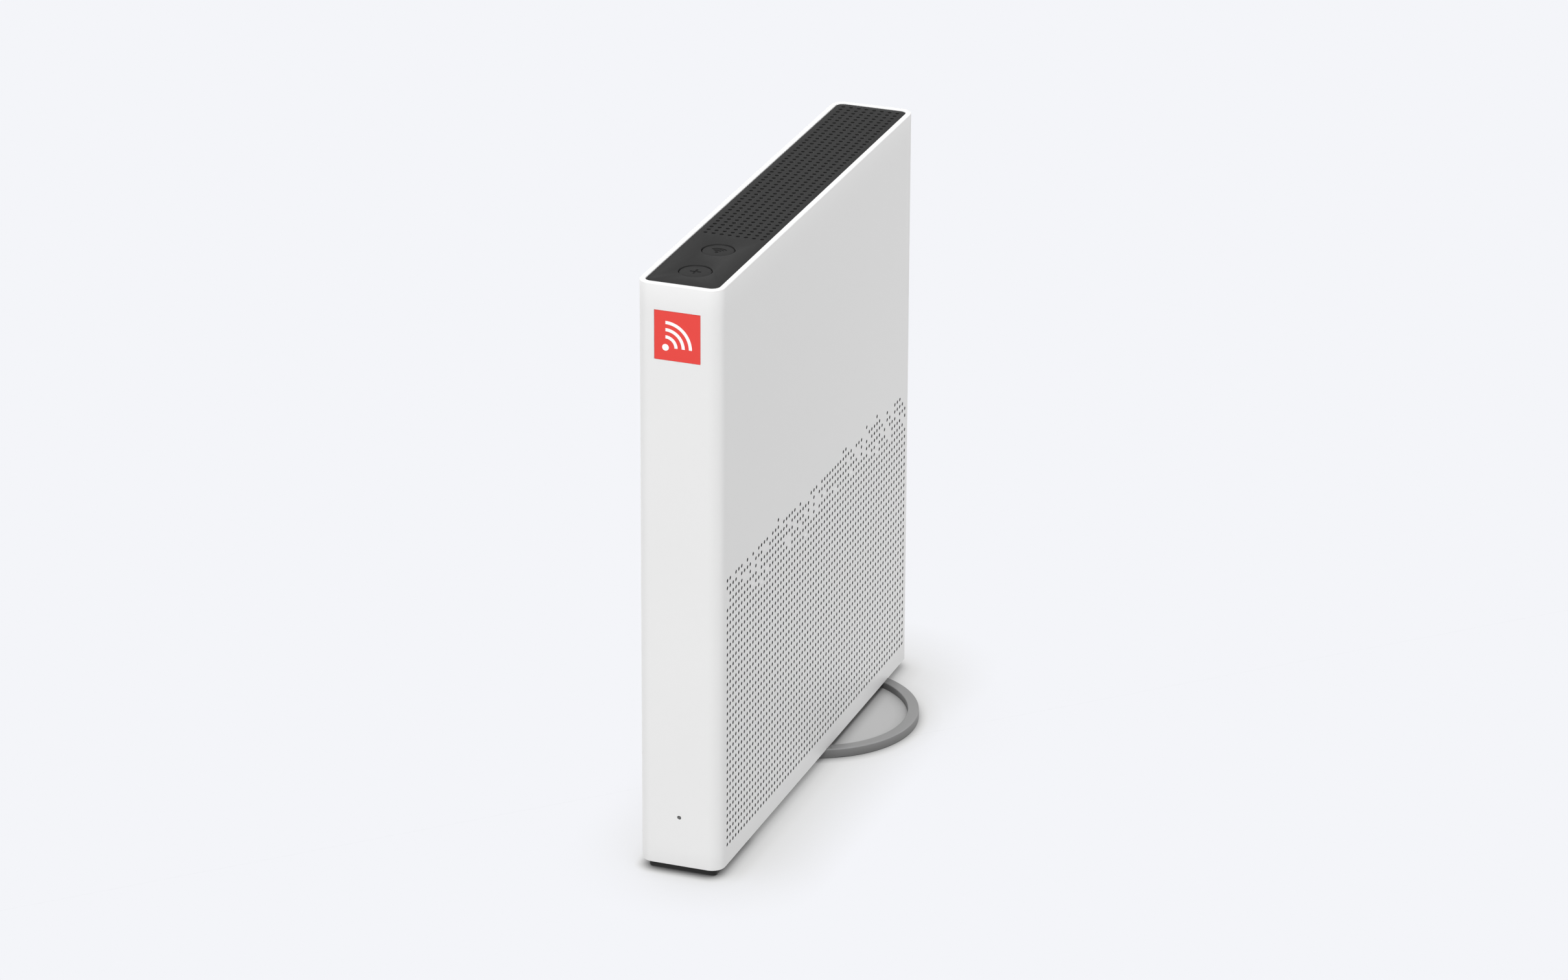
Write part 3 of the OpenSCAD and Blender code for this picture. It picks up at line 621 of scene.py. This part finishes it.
class Builder:
    def __init__(self):
        self.v, self.f, self.m = [], [], []

    def pts(self, p):
        k = len(self.v)
        self.v += [tuple(x) for x in p]
        return k

    def fill(self, outer, holes, z, up=True, mat=0, warp=None):
        co, tri = region(outer, holes)
        k = self.pts([(x, y, z) for x, y in co])
        for t in tri:
            a, b, c = co[t]
            ccw = (b[0] - a[0]) * (c[1] - a[1]) - (b[1] - a[1]) * (c[0] - a[0]) > 0
            t = t if ccw == up else t[::-1]
            self.f.append(tuple(int(i) + k for i in t))
            self.m.append(mat)

    def strip(self, loops, out=True, mat=0):
        """Joins closed loops of (x, y, z) with equal counts. out: an anticlockwise loop going up faces outwards."""
        n = len(loops[0])
        k = self.pts([p for lp in loops for p in lp])
        for a in range(len(loops) - 1):
            for i in range(n):
                j = (i + 1) % n
                q = (k + a * n + i, k + a * n + j, k + (a + 1) * n + j, k + (a + 1) * n + i)
                self.f.append(q if out else q[::-1])
                self.m.append(mat)

    def make(self, name, mats, **kw):
        return make(name, self.v, self.f, mats[0], mats=mats, fmat=self.m, **kw)


def offset_rr(hx, hy, r, d, nc=12, n_long=1):
    return [tuple(p) for p in rr_loop(hx - d, hy - d, max(r - d, 0.01), [], ([], []), nc)]


def lift(loop, z):
    return [(x, y, z) for x, y in loop]


# top panel
tb_lo, tb_hi = nb("top_panel")
PHW, PHD, PR = tb_hi[0], tb_hi[1], 2.95
TP_T = 2.0
b = Builder()
hole_c = [(-11.2 + 3.2 * c, HD - 5.3 - 3.2 * r) for r in range(48) for c in range(8)]
e = 0.12
top_outer = offset_rr(PHW, PHD, PR, e)
tops = [circle(x, y, 0.8 + 0.09, 20) for x, y in hole_c]
WELL = 12.7 / 2
wells = [circle(0, y, WELL + 0.15, 96) for y in (B1Y, B2Y)]
b.fill(top_outer, tops + wells, TP_TOP)
b.fill(offset_rr(PHW, PHD, PR, 0), [circle(x, y, 0.8, 20) for x, y in hole_c] + [circle(0, y, WELL, 96) for y in (B1Y, B2Y)], TP_TOP - TP_T, up=False)
b.strip([lift(offset_rr(PHW, PHD, PR, 0), TP_TOP - TP_T), lift(offset_rr(PHW, PHD, PR, 0), TP_TOP - e), lift(offset_rr(PHW, PHD, PR, e * 0.3), TP_TOP - e * 0.3), lift(top_outer, TP_TOP)])
for x, y in hole_c:
    b.strip([lift(circle(x, y, 0.8, 20), TP_TOP - TP_T), lift(circle(x, y, 0.8, 20), TP_TOP - 0.09), lift(circle(x, y, 0.89, 20), TP_TOP)], out=False)
for y in (B1Y, B2Y):
    b.strip([lift(circle(0, y, WELL, 96), TP_TOP - TP_T), lift(circle(0, y, WELL, 96), TP_TOP - 0.15),
             lift(circle(0, y, WELL + 0.045, 96), TP_TOP - 0.045), lift(circle(0, y, WELL + 0.15, 96), TP_TOP)], out=False)
top_panel = b.make("top_panel_skin", [PANEL], replace=("top_panel",), slot="panel_grey", smooth=35.0, merge=0.0005)

# parts of the panel under it that the skin doesn't draw: bosses and snap legs
bb_lo, bb_hi = nb("button_board")
for k, y in enumerate((B1Y - 9.5, (B1Y + B2Y) / 2, B2Y + 9.5)):
    v, f = lathe([(0.9, bb_hi[2]), (2.3, bb_hi[2]), (2.5, bb_hi[2] + 0.2), (2.5, TP_TOP - TP_T), (0.9, TP_TOP - TP_T)], 40, 0, y)
    make("panel_boss_%d" % (k + 1), v, f, PANEL, replace=("top_panel",), slot="panel_grey", smooth=35.0)


b = Builder()
zl = TP_TOP - TP_T
iwx = HW - WALL
leg = [(iwx - 2.5, zl - 4.0), (iwx - 1.5, zl - 4.0), (iwx - 0.5, zl - 3.1), (iwx - 0.4, zl - 2.9), (iwx - 0.4, zl - 1.85), (iwx - 0.5, zl - 1.75), (iwx - 1.2, zl - 1.75), (iwx - 1.2, zl), (iwx - 2.5, zl)]
for s in (1, -1):
    for y in (-92, -46, 0, 46, 92):
        k = b.pts([(s * x, y - 3, z) for x, z in leg] + [(s * x, y + 3, z) for x, z in leg])
        n = len(leg)
        for i in range(n):
            j = (i + 1) % n
            q = (k + i, k + j, k + n + j, k + n + i)
            b.f.append(q[::-1] if s > 0 else q)
        for i in range(1, n - 1):
            tris = ((0, i, i + 1), (n, n + i + 1, n + i))
            for t in tris:
                t = tuple(k + w for w in t)
                b.f.append(t if s > 0 else t[::-1])
b.m = [0] * len(b.f)
legs = b.make("panel_snap_legs", [PANEL], replace=("top_panel",), slot="panel_grey", smooth=35.0)
bm = bmesh.new()
bm.from_mesh(legs.data)
bmesh.ops.recalc_face_normals(bm, faces=bm.faces)
bm.to_mesh(legs.data)
bm.free()


# ------------------------------------------------------------------ push buttons
def arc_sector(r0, r1, a0, a1, cx, cy, n=20):
    out = [(cx + r1 * math.cos(a0 + (a1 - a0) * k / n), cy + r1 * math.sin(a0 + (a1 - a0) * k / n)) for k in range(n + 1)]
    inn = [(cx + r0 * math.cos(a1 + (a0 - a1) * k / n), cy + r0 * math.sin(a1 + (a0 - a1) * k / n)) for k in range(n + 1)]
    return out + inn


def plus_loop(cy, a=2.2, w=0.4):
    p = [(w, w), (w, a), (-w, a), (-w, w), (-a, w), (-a, -w), (-w, -w), (-w, -a), (w, -a), (w, -w), (a, -w), (a, w)]
    return [(x, cy + y) for x, y in p]


def signal_loops(cx, cy, a0, a1, radii, w, dot):
    loops = [circle(cx, cy, dot, 32)]
    for r in radii:
        loops.append(arc_sector(r - w, r + w, a0, a1, cx, cy))
    return loops


def button(name, cy, icon, node, icon_node, body):
    b = Builder()
    rc = (c1_hi[1] - c1_lo[1]) / 2 - 0.6       # the cap's own radius, without its flange
    rc = 12.1 / 2
    er, dip = 0.4, 0.2
    top = CAP_TOP
    b.fill(circle(0, cy, rc - er, 96), icon, top)
    for lp in icon:
        b.strip([lift(lp, top - dip), lift(lp, top)], out=False, mat=1)
        b.fill(lp, [], top - dip, mat=1)
    prof = [lift(circle(0, cy, rc, 96), TP_TOP - TP_T - 0.3)]
    for k in range(6):
        a = math.pi / 2 * k / 5
        prof.append(lift(circle(0, cy, rc - er + er * math.cos(a), 96), top - er + er * math.sin(a)))
    b.strip(prof)
    # retaining flange and stem under the cap
    z0 = TP_TOP - TP_T
    b.strip([lift(circle(0, cy, 2.0, 96), z0 - 2.6), lift(circle(0, cy, 2.0, 96), z0 - 1.3), lift(circle(0, cy, rc + 0.6, 96), z0 - 1.3),
             lift(circle(0, cy, rc + 0.6, 96), z0 - 0.3), lift(circle(0, cy, rc, 96), z0 - 0.3)])
    b.fill(circle(0, cy, 2.0, 96), [], z0 - 2.6, up=False)
    return b.make(name, [BUTTON, ICON], replace=(node, icon_node), slot="button_grey", smooth=35.0, body=body, merge=0.0005)


button("button_cap_front", B1Y, [plus_loop(B1Y)], "button_front", "button_front_icon", "front_button")
button("button_cap_rear", B2Y, signal_loops(0, B2Y - 1.9, math.pi / 4, 3 * math.pi / 4, (1.75, 2.9, 4.05), 0.3, 0.7), "button_rear", "button_rear_icon", "rear_button")


# ------------------------------------------------------------------ badge
def flat_solid(name, loops, plane_y, depth, mat, node, slot, holes=(), edge=0.08):
    """Solids standing in the XZ plane with square front edges; loops are (x, z). edge is not used."""
    b = Builder()
    for lp in loops:
        b.fill(lp, list(holes), 0.0)
        b.strip([lift(lp, -depth), lift(lp, 0.0)])
        b.fill(lp, [], -depth, up=False)
    for hl in holes:
        b.strip([lift(hl, -0.25), lift(hl, 0.0)], out=False)
        b.fill(hl, [], -0.25)
    # lay it in the XZ plane, facing -Y
    b.v = [(x, plane_y - z, y) for x, y, z in b.v]
    return b.make(name, [mat], replace=(node,), slot=slot, smooth=30.0, merge=0.0005)


bcx, bcz = (bx0 + bx1) / 2, (bz0 + bz1) / 2
sym = signal_loops(bcx - 4.6, bcz - 4.6, 0.0, math.pi / 2, (4.1, 6.9, 9.7), 0.62, 1.3)
plate_loop = [(x + bcx, z + bcz) for x, z in offset_rr((bx1 - bx0) / 2 - 0.04, (bz1 - bz0) / 2 - 0.04, 0.15, 0, 4)]
flat_solid("badge_plate", [plate_loop], -HD + 0.05, 0.5, CORAL, "badge", "badge_coral")
sb = Builder()
for lp in sym:
    sb.fill(lp, [], 0.0)
    sb.strip([lift(lp, -0.12), lift(lp, 0.0)])
sb.v = [(x, -HD + 0.02 - z, y) for x, y, z in sb.v]
sb.make("badge_mark", [MARK], replace=("badge_symbol",), slot="mark_white", smooth=30.0, merge=0.0005)

# status light: the smoked end of the light guide, just inside the wall
v, f = lathe([(0.0001, -0.25), (0.45, -0.22), (0.74, -0.1), (0.8, 0.0), (0.8, 1.9), (0.0001, 1.9)], 32)
v = np.column_stack([v[:, 0], -HD + 0.35 + v[:, 2], LED_Z + v[:, 1]])
make("status_light_end", v, f, SMOKE, replace=("light_guide",), slot="guide_smoke", smooth=30.0)

# ------------------------------------------------------------------ front foot
ff_lo, ff_hi = nb("front_foot")
fcx, fcy = 0.0, (ff_lo[1] + ff_hi[1]) / 2
fhx, fhy = ff_hi[0], (ff_hi[1] - ff_lo[1]) / 2


def move(loop, dx, dy):
    return [(x + dx, y + dy) for x, y in loop]


b = Builder()
FR = 1.6
prof = [(0.6, 0.0), (0.25, 0.12), (0.0, 0.5), (0.0, ZB)]
lps = [lift(move(offset_rr(fhx, fhy, FR, d, 12), fcx, fcy), z) for d, z in prof]
b.strip(lps)
b.fill([(p[0], p[1]) for p in lps[-1]], [], ZB)
inner = move(offset_rr(10.6, 15, 1.5, 0, 12), fcx, fcy)
b.fill([(p[0], p[1]) for p in lps[0]], [inner], 0.0, up=False)
b.strip([lift(inner, 0.0), lift(inner, 1.6)], out=False)
b.fill(inner, [], 1.6, up=False)
b.make("front_foot_block", [FOOT], replace=("front_foot",), slot="foot_black", smooth=35.0, merge=0.0005)

# ------------------------------------------------------------------ round stand
ri = RING_R - RING_W
prof = []
rr_o, rr_i = 0.45, 0.35
prof += [(ri - 1.2, RING_BOT), (ri + 1.0, RING_BOT), (ri + 1.0, 0.7), (RING_R - 1.0, 0.7), (RING_R - 1.0, RING_BOT), (RING_R - 0.15, RING_BOT), (RING_R, RING_BOT + 0.15)]
for k in range(7):
    a = math.pi / 2 * k / 6
    prof.append((RING_R - rr_o + rr_o * math.cos(a), RING_TOP - rr_o + rr_o * math.sin(a)))
for k in range(7):
    a = math.pi / 2 * k / 6
    prof.append((ri + rr_i - rr_i * math.sin(a), RING_TOP - rr_i + rr_i * math.cos(a)))
prof += [(ri, RING_BOT + 0.3), (ri - 1.2, RING_BOT + 0.3)]
v, f = lathe(prof, 720, 0, RING_Y)
under = (np.abs(v[:, 0]) < HW + 0.15)
v[under, 2] = np.minimum(v[under, 2], ZB)
make("stand_rim", v, f, RING, replace=("stand_ring",), slot="ring_grey", smooth=35.0)

z1 = p_hi[2]
v, f = lathe([(0.0001, p_lo[2]), (ri - 0.02, p_lo[2]), (ri - 0.02, z1), (ri - 0.5, z1), (0.0001, z1)], 256, 0, RING_Y)
make("stand_floor", v, f, PLATE, replace=("stand_plate",), slot="plate_grey", smooth=35.0)

# ------------------------------------------------------------------ CAD nodes that keep their shape
LOOK = {
    "base_cover": PLATE, "io_panel": DARK, "stand_neck": RING, "stand_pad": PAD, "stand_screws": STEEL, "base_screws": STEEL,
    "button_board": BOARD, "button_board_screws": STEEL, "tact_switches": CHIP, "plunger_front": CREAM, "plunger_rear": CREAM, "button_flex": FLEX,
    "board_frame": DARK, "board_screws": STEEL, "main_board": BOARD, "processor": CHIP, "thermal_pad": THERM, "heat_sink": ALU,
    "heat_sink_screws": STEEL, "memory_chips": CHIP, "radio_shields": STEEL, "power_coils": CHIP, "capacitors": CAN, "line_transformers": CHIP,
    "flex_sockets": CREAM, "status_led": LED, "antenna_boards": ANT, "antenna_leads": LEAD, "coax_sockets": GOLD,
    "power_inlet": SOCKET, "inlet_pin": GOLD, "power_switch_body": SOCKET, "power_rocker": BUTTON, "reset_switch": CHIP, "reset_plunger": CREAM,
    "usb_port": STEEL, "usb_tongue": SOCKET_B, "wan_jack": SOCKET_B, "lan_jack_1": SOCKET, "lan_jack_2": SOCKET, "lan_jack_3": SOCKET,
    "lan_jack_4": SOCKET, "jack_contacts": GOLD,
}
BEVEL = {"base_cover": 0.2, "io_panel": 0.25, "power_inlet": 0.25, "power_switch_body": 0.3, "power_rocker": 0.25, "usb_port": 0.15,
         "wan_jack": 0.25, "lan_jack_1": 0.25, "lan_jack_2": 0.25, "lan_jack_3": 0.25, "lan_jack_4": 0.25, "heat_sink": 0.12, "stand_neck": 0.2,
         "radio_shields": 0.2, "processor": 0.1}
for name, mat in LOOK.items():
    o = nodes[name]
    for s in o.material_slots:
        s.link = "OBJECT"
        s.material = mat
    if name in BEVEL:
        md = o.modifiers.new("edges", "BEVEL")
        md.width = BEVEL[name] * MM
        md.segments = 2
        md.limit_method = "ANGLE"
        md.angle_limit = math.radians(50)
        md.harden_normals = False

# ------------------------------------------------------------------ floor, light and camera
bm = bmesh.new()
S = 30.0
for q in ([(-S, -S, 0), (S, -S, 0), (S, S, 0), (-S, S, 0)],):
    bm.faces.new([bm.verts.new(p) for p in q])
me = bpy.data.meshes.new("floor")
bm.to_mesh(me)
bm.free()
floor = bpy.data.objects.new("floor", me)
bpy.context.scene.collection.objects.link(floor)
# pale seamless backdrop that glows evenly; occlusion of three reaches gives the close, soft contact shadow
m = Mat("floor_pale")
held = None
for reach, weight, tilt in ((40.0, 0.37, (-0.35, -0.25, 1.0)), (10.0, 0.2, (-0.35, -0.25, 1.0)), (5.0, 0.64, (0.35, 0.35, 1.0))):
    lean = m.node("ShaderNodeCombineXYZ")
    for k, v in enumerate(Vector(tilt).normalized()):
        lean.inputs[k].default_value = v
    ao = m.t.nodes.new("ShaderNodeAmbientOcclusion")
    ao.samples = 12
    ao.inputs["Distance"].default_value = reach * MM
    m.link(lean.outputs[0], ao.inputs["Normal"])
    part = m.math("MULTIPLY", m.math("SUBTRACT", 1.0, ao.outputs["AO"]), weight)
    held = part if held is None else m.math("ADD", held, part)
left = m.math("MAXIMUM", m.math("SUBTRACT", 1.0, held), 0.02)
# the backdrop is faintly cool, its shadow neutral
pale = m.mix(m.rng(held, 0.0, 1.0, 0.0, 0.2), (srgb(244), srgb(245), srgb(249), 1), (srgb(245.5), srgb(245.5), srgb(245.5), 1))
tone = m.t.nodes.new("ShaderNodeCombineColor")
for k in range(3):
    m.link(left, tone.inputs[k])
seen = m.mix(1.0, pale, tone.outputs[0], "MULTIPLY")
# what the object is lit by: an even, neutral floor, weaker in diffuse bounces
lp = m.t.nodes.new("ShaderNodeLightPath")
col = m.mix(lp.outputs["Is Camera Ray"], (srgb(245), srgb(245), srgb(245), 1), seen)
col = m.mix(lp.outputs["Is Diffuse Ray"], col, (0.3, 0.3, 0.3, 1))
em = m.t.nodes.new("ShaderNodeEmission")
m.link(col, em.inputs["Color"])
m.link(em.outputs[0], m.out.inputs["Surface"])
me.materials.append(m.m)

world = bpy.data.worlds.new("studio")
bpy.context.scene.world = world
world.use_nodes = True
world.node_tree.nodes["Background"].inputs[0].default_value = (1.0, 1.0, 1.0, 1)
world.node_tree.nodes["Background"].inputs[1].default_value = 0.46


def sun(name, towards, strength, angle):
    """A soft distant light that comes from the direction towards."""
    d = bpy.data.lights.new(name, "SUN")
    d.energy = strength * math.pi
    d.angle = math.radians(angle)
    o = bpy.data.objects.new(name, d)
    bpy.context.scene.collection.objects.link(o)
    o.rotation_mode = "QUATERNION"
    o.rotation_quaternion = (-Vector(towards)).to_track_quat("-Z", "Y")
    return o


sun("light_top_front", (0.0, -0.33, 0.81), 0.875, 50)
sun("light_front", (0.0, -1.0, 0.08), 0.4, 40)
sun("light_right_back", (1.0, 0.5, 0.05), 0.395, 40)
sun("light_left_back", (-1.0, 0.65, 0.1), 0.49, 30)

az, el, roll = math.radians(20.2272), math.radians(22.7122), math.radians(0.25789)
back = Vector((math.sin(az) * math.cos(el), -math.cos(az) * math.cos(el), math.sin(el)))
fwd = -back
right = fwd.cross(Vector((0, 0, 1))).normalized()
up = right.cross(fwd)
r2 = right * math.cos(roll) + up * math.sin(roll)
u2 = -right * math.sin(roll) + up * math.cos(roll)
U = 2.33 * MM
eye = Vector((0, 0, ZB * MM + 50 * U)) + back * 1034.755 * U + r2 * 0.8211 * U - u2 * 1.9788 * U
cd = bpy.data.cameras.new("camera")
cd.sensor_width = 36.0
cd.sensor_fit = "HORIZONTAL"
cd.lens = 9704.56 / 2420 * 36.0
cd.clip_start, cd.clip_end = 0.05, 100.0
cam = bpy.data.objects.new("camera", cd)
bpy.context.scene.collection.objects.link(cam)
cam.matrix_world = Matrix(((r2.x, u2.x, back.x, eye.x), (r2.y, u2.y, back.y, eye.y), (r2.z, u2.z, back.z, eye.z), (0, 0, 0, 1)))
bpy.context.scene.camera = cam
bpy.context.scene.view_settings.view_transform = "Standard"
bpy.context.scene.view_settings.look = "None"
bpy.context.scene.view_settings.exposure = 0.0
bpy.context.scene.view_settings.gamma = 1.0
